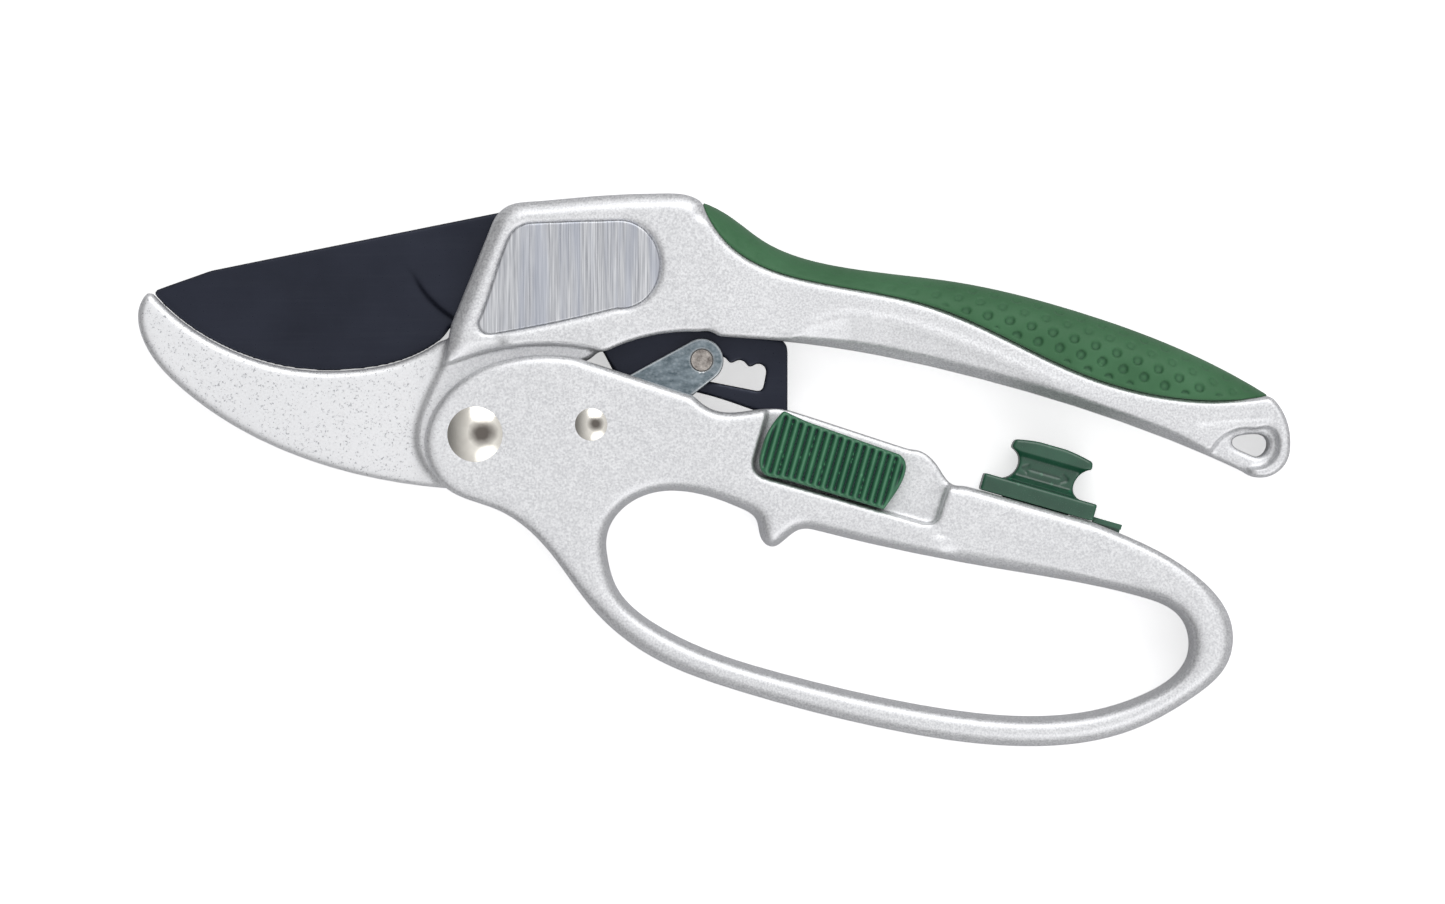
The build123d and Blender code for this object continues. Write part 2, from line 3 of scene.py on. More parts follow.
import bmesh
import bpy
import numpy as np
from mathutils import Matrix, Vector


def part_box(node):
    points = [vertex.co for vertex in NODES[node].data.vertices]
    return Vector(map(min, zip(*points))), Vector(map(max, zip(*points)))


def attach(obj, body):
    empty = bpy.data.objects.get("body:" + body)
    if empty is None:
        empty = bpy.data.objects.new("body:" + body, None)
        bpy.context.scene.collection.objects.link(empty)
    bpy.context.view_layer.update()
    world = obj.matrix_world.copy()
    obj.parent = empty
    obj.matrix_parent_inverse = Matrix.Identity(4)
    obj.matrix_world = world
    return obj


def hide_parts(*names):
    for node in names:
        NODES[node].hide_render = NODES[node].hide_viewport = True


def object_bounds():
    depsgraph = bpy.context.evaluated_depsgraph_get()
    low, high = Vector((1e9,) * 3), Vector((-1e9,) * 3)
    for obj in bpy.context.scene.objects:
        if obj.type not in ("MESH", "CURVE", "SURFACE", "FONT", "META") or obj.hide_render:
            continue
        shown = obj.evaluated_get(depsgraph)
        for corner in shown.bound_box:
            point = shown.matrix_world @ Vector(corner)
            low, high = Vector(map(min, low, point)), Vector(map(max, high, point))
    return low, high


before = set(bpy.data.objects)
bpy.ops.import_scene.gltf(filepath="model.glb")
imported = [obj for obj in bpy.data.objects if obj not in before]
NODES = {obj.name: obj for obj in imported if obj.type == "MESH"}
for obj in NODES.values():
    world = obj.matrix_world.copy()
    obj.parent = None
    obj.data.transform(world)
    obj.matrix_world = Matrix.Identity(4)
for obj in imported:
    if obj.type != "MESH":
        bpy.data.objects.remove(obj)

# Ratchet anvil pruner. Shapes are worked out in millimetres about the blade's middle plane, from
# outlines read off the CAD nodes, and turned into smooth closed meshes in metres.

MM = 0.001
CAD_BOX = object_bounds()
MID = 7.5  # height of the blade's middle plane
CASTING_HALF = 7.5  # from the middle plane to the flat faces of both castings
END_GAP, LEAST_AREA = 0.02, 0.01  # largest gap where segments join, least area of an outline


# ---- outlines ------------------------------------------------------------------------------
def chained(segments):
    """Loose segments joined end to end into closed outlines, the largest first."""
    found = []
    while len(segments):
        chain = [segments[0, 0], segments[0, 1]]
        segments = segments[1:]
        while len(segments):
            gaps = np.hypot(*(segments.reshape(-1, 2) - chain[-1]).T)
            nearest = int(gaps.argmin())
            if gaps[nearest] > END_GAP:
                break
            chain.append(segments[nearest // 2, 1 - nearest % 2])
            segments = np.delete(segments, nearest // 2, axis=0)
        found.append(np.array(chain[:-1]))
    found = [loop if area(loop) > 0 else loop[::-1] for loop in found if abs(area(loop)) > LEAST_AREA]
    return sorted(found, key=area, reverse=True)


def area(loop):
    """Area inside a closed outline, positive when it runs anticlockwise."""
    after = np.roll(loop, -1, axis=0)
    return float((loop[:, 0] * after[:, 1] - after[:, 0] * loop[:, 1]).sum() / 2)


def section(node, height):
    """Closed outlines where a node meets the level this far from the middle plane."""
    mesh = NODES[node].data
    mesh.calc_loop_triangles()
    points = np.empty(len(mesh.vertices) * 3)
    mesh.vertices.foreach_get("co", points)
    corners = np.empty(len(mesh.loop_triangles) * 3, np.int32)
    mesh.loop_triangles.foreach_get("vertices", corners)
    here = points.reshape(-1, 3)[corners.reshape(-1, 3)] / MM
    there = np.roll(here, -1, axis=1)
    over_here, over_there = here[:, :, 2] - MID - height, there[:, :, 2] - MID - height
    cut = (over_here < 0) != (over_there < 0)
    share = over_here / np.where(cut, over_here - over_there, 1)
    crossing = here[:, :, :2] + share[:, :, None] * (there - here)[:, :, :2]
    rows = cut.any(axis=1)
    return chained(crossing[rows][cut[rows]].reshape(-1, 2, 2))


def sides(loop):
    """Start and end of each side of a closed outline, as one array."""
    return np.stack([loop, np.roll(loop, -1, axis=0)], axis=1)


def chain(*points):
    """Start and end of each side of an open line through points."""
    line = np.array(points, float)
    return np.stack([line[:-1], line[1:]], axis=1)


def facing(loop, x, y, least=0.0):
    """Sides of an outline that look towards a direction, by more than the least cosine."""
    found = sides(loop)
    run = found[:, 1] - found[:, 0]
    length = np.maximum(np.hypot(run[:, 0], run[:, 1]), 1e-9)
    return found[(run[:, 1] * x - run[:, 0] * y) / length > least]


def axis_of(node):
    """Where the axis of a round node crosses the side view."""
    low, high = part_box(node)
    return (low[0] + high[0]) / 2 / MM, (low[1] + high[1]) / 2 / MM


def turned(x, y, degrees):
    """A place in the side view, measured along and across a direction."""
    tilt = math.radians(degrees)
    return x * math.cos(tilt) + y * math.sin(tilt), y * math.cos(tilt) - x * math.sin(tilt)


class Grid:
    """Sample points round a node, with a step in millimetres."""

    MARGIN = 4  # free cells on every side

    def __init__(self, node, step):
        low, high = (np.array(corner) / MM - (0, 0, MID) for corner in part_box(node))
        first, last = np.floor(low / step) - self.MARGIN, np.ceil(high / step) + self.MARGIN
        self.step, self.first = step, first
        self.x, self.y, self.z = (np.arange(a, b + 1) * step for a, b in zip(first, last))
        self.X, self.Y = np.meshgrid(self.x, self.y, indexing="ij")
        self.Z = self.z[None, None, :]

    def near(self, found):
        """Distance to the nearest of some sides."""
        best = np.full(self.X.shape, 1e9)
        for (ax, ay), (bx, by) in found:
            dx, dy = bx - ax, by - ay
            along = (self.X - ax) * dx + (self.Y - ay) * dy
            along = np.clip(along / max(dx * dx + dy * dy, 1e-12), 0, 1)
            square = (self.X - ax - along * dx) ** 2 + (self.Y - ay - along * dy) ** 2
            best = np.minimum(best, square)
        return np.sqrt(best)

    def flat(self, loops):
        """Distance to outlines, negative inside them."""
        inside = np.zeros(self.X.shape, bool)
        for loop in loops:
            for (ax, ay), (bx, by) in sides(loop):
                if ay != by:
                    level = (ay > self.Y) != (by > self.Y)
                    inside ^= level & (self.X < (bx - ax) * (self.Y - ay) / (by - ay) + ax)
        away = self.near(np.concatenate([sides(loop) for loop in loops]))
        return np.where(inside, -away, away)

    def cut(self, node, height):
        """Distance to a node's outlines at a level above the middle plane."""
        return self.flat(section(node, height))


def deep(value):
    """A value over the side view, ready to combine with depth."""
    return value[:, :, None] if isinstance(value, np.ndarray) else value


def rounded(out, up, radius):
    """Distance to a wall and a top that meet in a rounded edge, both given from a radius inside."""
    edge = np.hypot(np.maximum(out, 0), np.maximum(up, 0))
    return np.minimum(np.maximum(out, up), 0) + edge - radius


def pill(grid, outline, half, radius):
    """An outline thickened to each side of the middle plane, with rounded edges."""
    return rounded(deep(outline + radius), np.abs(grid.Z) - deep(half - radius), deep(radius))


def keep_to(field, outline, within):
    """Inside a layer, nothing stays outside an outline."""
    return np.maximum(field, np.minimum(deep(outline), within))


def ease(value, start, end):
    """Smooth step from 0 at start to 1 at end."""
    share = np.clip((value - start) / (end - start), 0, 1)
    return share * share * (3 - 2 * share)


def swell(away, height, width):
    """A soft ridge along a line, by the distance from the line."""
    return height * np.exp(-((away / width) ** 2))


def softened(grid, field, passes):
    """The field averaged with its neighbours, some times along each axis, which rounds edges."""
    field = np.clip(field, -3 * grid.step, 3 * grid.step)
    for axis, times in enumerate(passes):
        for _ in range(times):
            field = (np.roll(field, 1, axis) + 2 * field + np.roll(field, -1, axis)) / 4
    return field


def skin(grid, field, name):
    """Closed mesh of the surface where the field is zero: one corner per mixed cell."""
    inside = field < 0
    size = np.array(field.shape) - 1
    count = sum(
        inside[i : size[0] + i, j : size[1] + j, k : size[2] + k].astype(int)
        for i in (0, 1) for j in (0, 1) for k in (0, 1)
    )
    mixed = (count > 0) & (count < 8)
    cells = np.argwhere(mixed)
    number = np.full(mixed.shape, -1)
    number[mixed] = np.arange(len(cells))
    total, hits = np.zeros((len(cells), 3)), np.zeros(len(cells))
    axes = np.eye(3, dtype=int)
    for axis in range(3):
        for a in (0, 1):
            for b in (0, 1):
                start = a * axes[(axis + 1) % 3] + b * axes[(axis + 2) % 3]
                here = field[tuple((cells + start).T)]
                there = field[tuple((cells + start + axes[axis]).T)]
                crossed = (here < 0) != (there < 0)
                share = here / np.where(crossed, here - there, 1)
                total[crossed] += start + share[crossed, None] * axes[axis]
                hits[crossed] += 1
    points = (cells + total / hits[:, None] + grid.first) * grid.step + (0, 0, MID)
    quads = []
    for axis in range(3):
        u, v = axes[(axis + 1) % 3], axes[(axis + 2) % 3]
        here = np.argwhere(np.diff(inside, axis=axis))
        corners = [number[tuple((here - step).T)] for step in (u + v, v, 0 * u, u)]
        quad = np.stack(corners, axis=1)
        outward = inside[tuple(here.T)]
        quads.append(np.where(outward[:, None], quad, quad[:, ::-1]))
    quads = np.concatenate(quads)
    mesh = bpy.data.meshes.new(name)
    mesh.vertices.add(len(points))
    mesh.vertices.foreach_set("co", (points * MM).ravel())
    mesh.loops.add(quads.size)
    mesh.loops.foreach_set("vertex_index", quads.ravel().astype(np.int32))
    mesh.polygons.add(len(quads))
    mesh.polygons.foreach_set("loop_start", np.arange(0, quads.size, 4, dtype=np.int32))
    mesh.polygons.foreach_set("use_smooth", np.ones(len(quads), bool))
    mesh.update(calc_edges=True)
    mesh.validate()
    piece = bpy.data.objects.new(name, mesh)
    bpy.context.scene.collection.objects.link(piece)
    return piece


# ---- materials -----------------------------------------------------------------------------
class Finish:
    """A material: its shader's constant values, then textures linked in."""

    def __init__(self, name, colour, metallic, roughness, **values):
        self.material = bpy.data.materials.new(name)
        self.material.use_nodes = True
        self.tree = self.material.node_tree
        self.shader = self.tree.nodes["Principled BSDF"]
        values.update({"Base Color": (*colour, 1), "Metallic": metallic, "Roughness": roughness})
        for socket, value in values.items():
            self.shader.inputs[socket.replace("_", " ")].default_value = value
        self.place = self.tree.nodes.new("ShaderNodeTexCoord").outputs["Object"]

    def node(self, kind, inputs=None, **settings):
        """A new node with its settings, its constants and what is linked into it."""
        node = self.tree.nodes.new(kind)
        for key, value in settings.items():
            setattr(node, key, value)
        for key, value in (inputs or {}).items():
            if isinstance(value, bpy.types.NodeSocket):
                self.tree.links.new(value, node.inputs[key])
            else:
                node.inputs[key].default_value = value
        return node

    def stretched(self, scale, turn=0.0):
        """Object coordinates scaled along each axis and turned in the side view."""
        inputs = {"Vector": self.place, "Scale": scale, "Rotation": (0, 0, turn)}
        return self.node("ShaderNodeMapping", inputs).outputs["Vector"]

    def noise(self, scale, detail=3.0, vector=None, rough=0.55):
        vector = vector or self.place
        inputs = {"Vector": vector, "Scale": scale, "Detail": detail, "Roughness": rough}
        return self.node("ShaderNodeTexNoise", inputs).outputs["Fac"]

    def ranged(self, value, low, high, new_low, new_high):
        names = ("Value", "From Min", "From Max", "To Min", "To Max")
        inputs = dict(zip(names, (value, low, high, new_low, new_high)))
        return self.node("ShaderNodeMapRange", inputs).outputs["Result"]

    def pointed(self, low, high, new_low, new_high):
        """Range of how the surface bends: 0.5 where flat, more on edges, less in grooves."""
        value = self.node("ShaderNodeNewGeometry").outputs["Pointiness"]
        return self.ranged(value, low, high, new_low, new_high)

    def blend(self, share, first, second):
        """Colour that goes from the first to the second as the share goes from 0 to 1."""
        node = self.node("ShaderNodeMix", data_type="RGBA")
        for key, value in ((0, share), (6, first), (7, second)):
            if isinstance(value, bpy.types.NodeSocket):
                self.tree.links.new(value, node.inputs[key])
            else:
                node.inputs[key].default_value = value if key == 0 else (*value, 1)
        return node.outputs[2]

    def feed(self, socket, value):
        self.tree.links.new(value, self.shader.inputs[socket])
        return self

    def bump(self, height, strength, distance):
        """Fine relief, on top of any relief that is there already."""
        inputs = {"Height": height, "Strength": strength, "Distance": distance * MM}
        node = self.node("ShaderNodeBump", inputs)
        last = self.shader.inputs["Normal"]
        if last.is_linked:
            self.tree.links.new(last.links[0].from_socket, node.inputs["Normal"])
        return self.feed("Normal", node.outputs["Normal"])

    def maths(self, operation, first, second):
        node = self.node("ShaderNodeMath", {0: first, 1: second}, operation=operation)
        return node.outputs["Value"]


def cast_silver():
    """Sprayed metallic silver on a casting: fine bright and dark grains, coarser on the anvil."""
    look = Finish("cast_silver", (0.62, 0.63, 0.65), 0.70, 0.42, Specular_IOR_Level=0.5)
    fine = look.noise(2700, 2)
    coarse = look.noise(2200, 3, rough=0.7)
    cloud = look.noise(60, 3)
    split = look.node("ShaderNodeSeparateXYZ", {"Vector": look.place})
    anvil = look.ranged(split.outputs["X"], -2 * MM, -12 * MM, 0.0, 1.0)
    bright, peppered = look.ranged(fine, 0.33, 0.67, 0, 1), look.ranged(coarse, 0.33, 0.43, 0, 1)
    base = look.blend(bright, (0.655, 0.66, 0.675), (0.94, 0.945, 0.955))
    speck = look.blend(peppered, (0.26, 0.27, 0.29), (0.95, 0.955, 0.965))
    grain = look.blend(look.maths("MULTIPLY", anvil, 0.75), base, speck)
    tone = look.blend(look.ranged(cloud, 0.3, 0.7, 0.0, 0.10), grain, (0.60, 0.61, 0.64))
    # Painted highlight: convex edges and rims are made lighter.
    edge_highlight = look.pointed(0.51, 0.58, 0.0, 0.35)
    look.feed("Base Color", look.blend(edge_highlight, tone, (0.95, 0.955, 0.96)))
    look.feed("Roughness", look.ranged(fine, 0.3, 0.7, 0.33, 0.52))
    return look.bump(fine, 0.16, 0.05).bump(coarse, 0.10, 0.08).material


def soft_rubber():
    """Matt green rubber, with painted shade in its dimples."""
    look = Finish("green_rubber", (0.045, 0.19, 0.075), 0.0, 0.55,
                  Specular_IOR_Level=0.4, Sheen_Weight=0.12)
    cloud, fine = look.noise(90, 3), look.noise(5200, 3)
    mottle = look.ranged(cloud, 0.3, 0.7, 0, 1)
    tone = look.blend(mottle, (0.038, 0.140, 0.055), (0.056, 0.180, 0.078))
    # Painted shade: concave dimples are made darker.
    hollow_shade = look.maths("MULTIPLY", look.pointed(0.45, 0.499, 1.0, 0.0), 0.8)
    look.feed("Base Color", look.blend(hollow_shade, tone, (0.018, 0.085, 0.035)))
    look.feed("Roughness", look.ranged(fine, 0.3, 0.7, 0.48, 0.66))
    return look.bump(fine, 0.22, 0.03).material


def brushed_label():
    """Brushed metal with lines across the plate."""
    look = Finish("brushed_label", (0.72, 0.73, 0.75), 0.85, 0.36)
    lines = look.noise(1.0, 4, look.stretched((5200, 90, 900)))
    broad = look.noise(1.0, 2, look.stretched((420, 30, 100)))
    tone = look.blend(look.ranged(lines, 0.32, 0.68, 0, 1), (0.35, 0.36, 0.39), (0.79, 0.80, 0.82))
    band = look.ranged(broad, 0.45, 0.65, 0.0, 0.55)
    look.feed("Base Color", look.blend(band, tone, (0.40, 0.43, 0.51)))
    look.feed("Roughness", look.ranged(lines, 0.3, 0.7, 0.26, 0.46))
    return look.bump(lines, 0.25, 0.03).material


def blade_coating():
    """Dark blue-black coating with faint streaks, and a painted highlight along its edges."""
    look = Finish("blade_coating", (0.016, 0.019, 0.028), 0.5, 0.34,
                  Coat_Weight=0.05, Coat_Roughness=0.2, Specular_IOR_Level=0.35)
    fine, cloud = look.noise(3000, 3), look.noise(70, 4)
    streak = look.noise(1.0, 3, look.stretched((60, 1400, 200), math.radians(-25)))
    # Painted highlight: convex edges are made lighter grey.
    edge_highlight = look.pointed(0.53, 0.62, 0.0, 0.6)
    mottle = look.ranged(cloud, 0.3, 0.7, 0, 1)
    tone = look.blend(mottle, (0.013, 0.016, 0.029), (0.021, 0.025, 0.042))
    tone = look.blend(look.ranged(streak, 0.5, 0.8, 0.0, 0.12), tone, (0.040, 0.046, 0.060))
    look.feed("Base Color", look.blend(edge_highlight, tone, (0.20, 0.21, 0.24)))
    look.feed("Roughness", look.ranged(fine, 0.3, 0.7, 0.27, 0.42))
    return look.bump(fine, 0.08, 0.02).material


def polished(name, colour, roughness, depth):
    """Bright metal with faint rub marks and slight tarnish."""
    look = Finish(name, colour, 1.0, roughness)
    marks, cloud = look.noise(1.0, 3, look.stretched((1500, 300, 1500))), look.noise(220, 3)
    tarnished = tuple(channel * 0.72 for channel in colour)
    look.feed("Base Color", look.blend(look.ranged(cloud, 0.35, 0.7, 0.0, 0.7), colour, tarnished))
    look.feed("Roughness", look.ranged(marks, 0.3, 0.7, roughness * 0.8, roughness * 1.35))
    return look.bump(marks, 0.15, depth).material


def nickel():
    """Polished nickel, with a painted dark reflection on the crown of the dome."""
    look = Finish("nickel_rivet", (0.86, 0.82, 0.76), 1.0, 0.2)
    cloud, marks = look.noise(260, 3), look.noise(1.0, 3, look.stretched((900, 260, 900), 0.6))
    # Painted reflection: where the normal points nearly straight up, the colour goes almost black.
    outward, reflection_way = look.node("ShaderNodeTexCoord").outputs["Normal"], (0.15, 0.03, 0.988)
    toward = look.node("ShaderNodeVectorMath", {0: outward, 1: reflection_way}, operation="DOT_PRODUCT")
    ragged = look.ranged(cloud, 0.3, 0.7, -0.006, 0.006)
    dark_crown_reflection = look.ranged(look.maths("ADD", toward.outputs["Value"], ragged), 0.958, 0.993, 0.0, 0.93)
    tarnish = look.ranged(cloud, 0.35, 0.7, 0.0, 0.35)
    tone = look.blend(tarnish, (0.88, 0.85, 0.78), (0.58, 0.54, 0.48))
    look.feed("Base Color", look.blend(dark_crown_reflection, tone, (0.10, 0.085, 0.075)))
    look.feed("Roughness", look.ranged(marks, 0.3, 0.7, 0.15, 0.24))
    return look.bump(marks, 0.2, 0.02).material


def zinc():
    """Blue-grey passivated zinc, mottled, over faint rolling marks."""
    look = Finish("zinc_plate", (0.42, 0.49, 0.56), 0.85, 0.38)
    mottle = look.noise(1.0, 5, look.stretched((480, 1100, 600), 0.5), 0.65)
    grain = look.noise(2600, 3)
    cells = look.node("ShaderNodeTexVoronoi", {"Vector": look.place, "Scale": 1300.0})
    spots = look.ranged(cells.outputs["Distance"], 0.1, 0.5, 0.25, 0.0)
    # Painted highlight: convex edges go almost white.
    edge_highlight = look.pointed(0.505, 0.56, 0.0, 0.9)
    tone = look.ranged(mottle, 0.34, 0.66, 0, 1)
    tone = look.blend(tone, (0.10, 0.135, 0.155), (0.27, 0.325, 0.36))
    tone = look.blend(spots, tone, (0.55, 0.60, 0.64))
    look.feed("Base Color", look.blend(edge_highlight, tone, (0.85, 0.88, 0.90)))
    look.feed("Roughness", look.ranged(mottle, 0.3, 0.7, 0.28, 0.5))
    return look.bump(grain, 0.2, 0.03).material


def raw_pin_end():
    """Rough, blotched end of a cut pin."""
    look = Finish("raw_pin", (0.30, 0.26, 0.235), 0.75, 0.55)
    coarse, fine = look.noise(900, 5, rough=0.75), look.noise(3500, 3)
    blotches = look.ranged(coarse, 0.32, 0.68, 0, 1)
    look.feed("Base Color", look.blend(blotches, (0.13, 0.11, 0.10), (0.58, 0.54, 0.50)))
    look.feed("Roughness", look.ranged(fine, 0.3, 0.7, 0.4, 0.7))
    return look.bump(coarse, 0.6, 0.12).material


def moulded(name, dark, light, groove_shade, roughness, coat):
    """Glossy moulded plastic, with a painted highlight along its edges and painted shade in its
    grooves.
    """
    look = Finish(name, dark, 0.0, roughness,
                  Coat_Weight=coat, Coat_Roughness=0.18, Specular_IOR_Level=0.5)
    cloud, fine = look.noise(160, 3), look.noise(3800, 3)
    # Painted highlight on convex edges, and painted shade in concave grooves.
    edge, hollow_shade = look.pointed(0.50, 0.60, 0.0, 0.75), look.pointed(0.44, 0.499, 1.0, 0.0)
    tone = look.blend(look.ranged(cloud, 0.3, 0.7, 0.0, 0.35), dark, light)
    tone = look.blend(edge, tone, light)
    look.feed("Base Color", look.blend(hollow_shade, tone, groove_shade))
    look.feed("Roughness", look.ranged(fine, 0.3, 0.7, roughness * 0.8, roughness * 1.3))
    return look.bump(fine, 0.15, 0.02).material


def black_oxide():
    """Dull black steel."""
    look = Finish("black_oxide", (0.014, 0.014, 0.016), 0.5, 0.42)
    cloud, fine = look.noise(300, 4), look.noise(3000, 3)
    mottle = look.ranged(cloud, 0.3, 0.7, 0, 1)
    look.feed("Base Color", look.blend(mottle, (0.010, 0.010, 0.012), (0.032, 0.032, 0.036)))
    look.feed("Roughness", look.ranged(fine, 0.3, 0.7, 0.34, 0.55))
    return look.bump(fine, 0.2, 0.02).material


SILVER = cast_silver()
LABEL = brushed_label()
COATING = blade_coating()
NICKEL = nickel()
ZINC = zinc()
PIN_END = raw_pin_end()
STEEL = polished("plain_steel", (0.56, 0.56, 0.57), 0.32, depth=0.03)
BRASS = polished("brass_washer", (0.70, 0.52, 0.24), 0.28, depth=0.02)
RUBBER = soft_rubber()
# Each plastic's groove colour is painted shade for its grooves.
LOCK_GREEN = moulded(
    "lock_plastic", dark=(0.020, 0.115, 0.058), light=(0.105, 0.33, 0.17),
    groove_shade=(0.008, 0.020, 0.026), roughness=0.34, coat=0.2,
)
SLIDER_GREEN = moulded(
    "slider_plastic", dark=(0.006, 0.055, 0.028), light=(0.035, 0.165, 0.09),
    groove_shade=(0.004, 0.02, 0.016), roughness=0.22, coat=0.45,
)
OXIDE = black_oxide()


def settle(piece, body, node, look):
    """Gives a new piece its finish, hangs it on the body it moves with, and hides the node it replaces.
    """
    piece.data.materials.clear()
    piece.data.materials.append(look)
    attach(piece, body)
    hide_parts(node)


# ---- castings ------------------------------------------------------------------------------
BODY, HANDLE = "body_casting", "lower_handle"


def upper_casting():
    """Anvil, cheeks and upper handle in one casting, layer by layer."""
    grid = Grid(BODY, 0.45)
    x, y, level = grid.X, grid.Y, np.abs(grid.Z)
    cheeks = section(BODY, 5.0)
    face = grid.flat(cheeks)
    outer = sides(cheeks[0])
    mid_x, mid_y = outer.mean(axis=1).T

    # Thickness of the cheeks and the handle: the handle is a little thinner, the cheeks' outer rim
    # is bevelled, and so is a narrow strip along the handle's lower side.
    head_rim = grid.near(outer[(mid_x < 41) & ((mid_y > 38) | ((mid_x < 3.6) & (mid_y > 12.3)))])
    centre_line = np.interp(mid_x, [44, 60, 80, 100, 120, 137], [25, 22, 18, 11.5, 3.5, -2])
    lower_rim = grid.near(outer[(mid_x > 44) & (mid_x < 139) & (mid_y < centre_line)])
    bevel_drop, bevel_width = 1.35, 2.3
    half = CASTING_HALF - 0.6 * ease(x, 42, 60)
    half = half - bevel_drop * np.clip(1 - head_rim / bevel_width, 0, 1) * ease(y, 12, 15)
    strip_width, strip_slope = 1.35 * ease(x, 46, 72) * ease(-x, -138, -122), 3.0
    half = half - strip_slope * np.maximum(strip_width - lower_rim, 0)

    # A raised line bows over the handle's flank, which falls away below it. A short crease runs
    # out beside the hanging hole.
    ridge = [(55.5, 16.6), (57.0, 17.5), (60.2, 19.9), (66.5, 21.3), (74.8, 20.2), (83.3, 17.7),
             (90.3, 15.0), (100.0, 11.0), (108.5, 7.4), (117.0, 4.4), (125.0, 1.6)]
    below = grid.flat([np.array(ridge + [(125.0, -20.0), (55.5, -20.0)])])
    half = half - 0.24 * np.maximum(-below, 0) * ease(-x, -125, -100)
    half = half + swell(grid.near(chain(*ridge)), 0.34, 0.7) * ease(-x, -124, -100)
    crease = chain((129.5, 2.4), (136.0, 3.0), (143.0, 3.2))
    half = half - swell(grid.near(crease), 0.35, 0.5)

    # The cheeks and the handle, then the lug under the rivets and the anvil; then the room for
    # the blade and its tail between the cheeks, and the label's pocket.
    field = pill(grid, face, half, 0.9)
    cover = grid.cut("grip_cover", 6.0)
    for height, depth, radius in ((3.7, 4.1, 0.7), (3.0, 3.2, 1.2)):
        layer = np.maximum(grid.cut(BODY, height), -cover)
        field = np.minimum(field, pill(grid, layer, depth, radius))
    field = keep_to(field, grid.cut(BODY, 2.3), 2.6 - level)
    field = keep_to(field, grid.cut(BODY, 0.3), 2.0 - level)
    label = grid.flat(section("label_plate_front", 7.1))
    field = np.maximum(field, np.minimum(deep(0.2 - label), level - 6.7))
    field = np.maximum(field, np.minimum(deep(grid.cut(BODY, 6.0)), level - 5.4))
    return skin(grid, softened(grid, field, (2, 2, 1)), "upper_casting")


def lower_casting():
    """Head cheeks, shelf and finger loop in one casting."""
    grid = Grid(HANDLE, 0.45)
    x, y, z = grid.X, grid.Y, grid.Z
    level = np.abs(z)
    loops = section(HANDLE, -5.5)  # the outer edge, the finger loop's hole, then the rivets' bores
    outside, hole = grid.flat(loops[:1]), grid.flat(loops[1:2])

    # Below a groove along the loop's upper bar the flank falls away.
    facet = [(82.5, -17.6), (90.0, -18.9), (100.0, -21.2), (110.0, -23.9), (118.0, -26.2),
             (124.5, -28.6)]
    below = grid.flat([np.array(facet + [(124.5, -60.0), (82.5, -60.0)])])
    half = CASTING_HALF - 0.28 * np.maximum(-below, 0) * ease(x, 82, 87) * ease(y, -42, -34)
    half = half - swell(grid.near(chain(*facet)), 0.6, 0.5) * ease(-x, -124, -112)

    # The outer edge is rounder round the loop, and the hole widens towards both faces.
    rim, hole_rim = 1.6 + 1.3 * ease(-y, 22, 34) * ease(x, 5, 25), 2.8
    field = np.maximum(pill(grid, outside, half, rim), pill(grid, -hole, half, hole_rim))
    steep, length = 8.0, 8.06  # rise of the hole's wall per millimetre, and per unit of distance
    field = np.maximum(field, (level - 0.8 - steep * deep(hole)) / length)
    for bore in loops[2:]:
        field = np.maximum(field, -deep(grid.flat([bore])))

    # The slide's recess, the gap between the cheeks and the stop's guide follow the node's
    # outlines level by level. The rivets' tails sink into the back.
    field = keep_to(field, grid.cut(HANDLE, 5.5), z - 3.4)
    for height, depth in ((-3.0, 4.6), (-2.4, 2.6), (-2.1, 2.2), (-1.6, 2.0), (-1.0, 1.3)):
        field = keep_to(field, grid.cut(HANDLE, height), depth - level)
    field = keep_to(field, grid.cut(HANDLE, 3.2), np.minimum(z + 0.6, 4.6 - z))
    for rivet, radius in (("main_rivet", 5.1), ("link_rivet", 3.05)):
        axis_x, axis_y = axis_of(rivet)
        from_axis = np.hypot(x - axis_x, y - axis_y)
        field = np.maximum(field, np.minimum(deep(radius - from_axis), -6.3 - z))
    return skin(grid, softened(grid, field, (2, 2, 1)), "lower_casting")


def grip():
    """Soft cover of the upper handle's back, rounded over, with rows of small ring dimples.
    The casting's rib inside it doesn't show, so it is left filled."""
    grid = Grid("grip_cover", 0.25)
    shape = section("grip_cover", 6.0)
    face = grid.flat(shape)
    back = grid.near(facing(shape[0], 0.3, 0.95))
    radius, half = 6.4, 7.45
    field = np.maximum(deep(face), pill(grid, -back, half, radius))

    # Distance over the rounded back from its middle line, and along the handle.
    rise = np.abs(grid.Z) - (half - radius)
    turn = np.arctan2(np.maximum(rise, 0), np.maximum(deep(radius - back), 1e-6))
    over = np.minimum(np.abs(grid.Z), half - radius) + radius * turn
    over = over + np.maximum(deep(back - radius), 0)
    ahead = deep(turned(grid.X, grid.Y, -18.9)[0])

    # Dimples in staggered rows, fainter over the back, near the head and at the seam.
    pitch, row, depth = 4.0, 2.4, 0.44
    rank = np.round(over / row)
    shift = np.where(rank % 2 == 0, 0.0, pitch / 2)
    away = np.hypot((ahead + shift + pitch / 2) % pitch - pitch / 2, over - rank * row)
    cup = depth * ease(-away, -0.98, -0.74) * deep(ease(-face, 0.5, 1.3))
    cup = cup * (0.4 + 0.6 * ease(over, 7.5, 10.0)) * (0.45 + 0.55 * ease(ahead, 58, 76))
    field = np.maximum(softened(grid, field, (1, 1, 1)), field + cup * (ahead > 20))
    return skin(grid, field, "grip")


